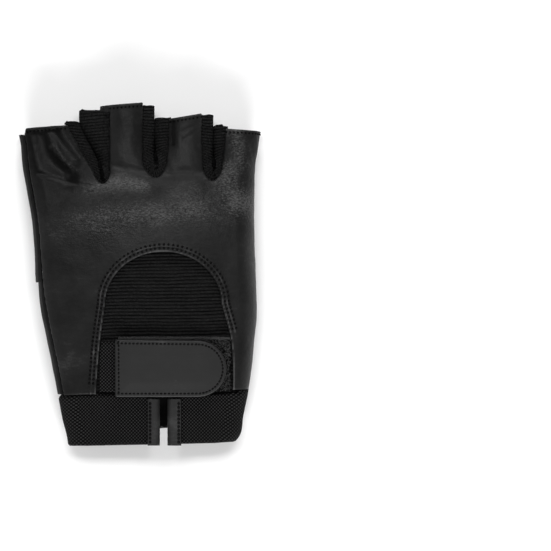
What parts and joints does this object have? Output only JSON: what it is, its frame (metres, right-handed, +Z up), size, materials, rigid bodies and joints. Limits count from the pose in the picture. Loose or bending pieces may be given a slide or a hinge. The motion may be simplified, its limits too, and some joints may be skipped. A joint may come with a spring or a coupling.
{
  "type": "weightlifting glove",
  "caption": "Fingerless right-hand weightlifting glove in leather, lying back up, with knit finger gussets, a ribbed arch panel, an elastic cuff and a wrist strap.",
  "frame": {"origin": "centre of the bounding box's bottom face, on the surface that the glove lies on", "axes": "+Y from the wrist to the fingers, +X to the little finger's side, +Z up, out of the glove's back"},
  "size_m": [0.1155, 0.1645, 0.0278],
  "materials": {
    "leather": "soft black pebbled leather with a low sheen",
    "tab_leather": "smooth charcoal synthetic leather, satin",
    "knit": "matte black ribbed knit",
    "ribbed_elastic": "matte black ribbed elastic",
    "woven_elastic": "matte black diagonal-weave elastic",
    "loop_tape": "fuzzy black loop tape"
  },
  "bodies": {
    "root": {"back_panel": "leather", "arch_panel": "ribbed_elastic", "index_strip_upper": "leather", "index_strip_lower": "leather", "gusset_index_middle": "knit", "gusset_middle_ring": "knit", "gusset_ring_little": "knit", "palm_upper": "leather", "palm_middle": "leather", "palm_heel": "leather", "palm_overlay": "leather", "thumb_wrap": "leather", "thumb_strip": "leather", "cuff_band": "woven_elastic", "vent_binding_left": "leather", "vent_binding_right": "leather", "strap_base": "woven_elastic", "loop_patch": "loop_tape", "strap_tab": "tab_leather"}
  },
  "joints": []
}
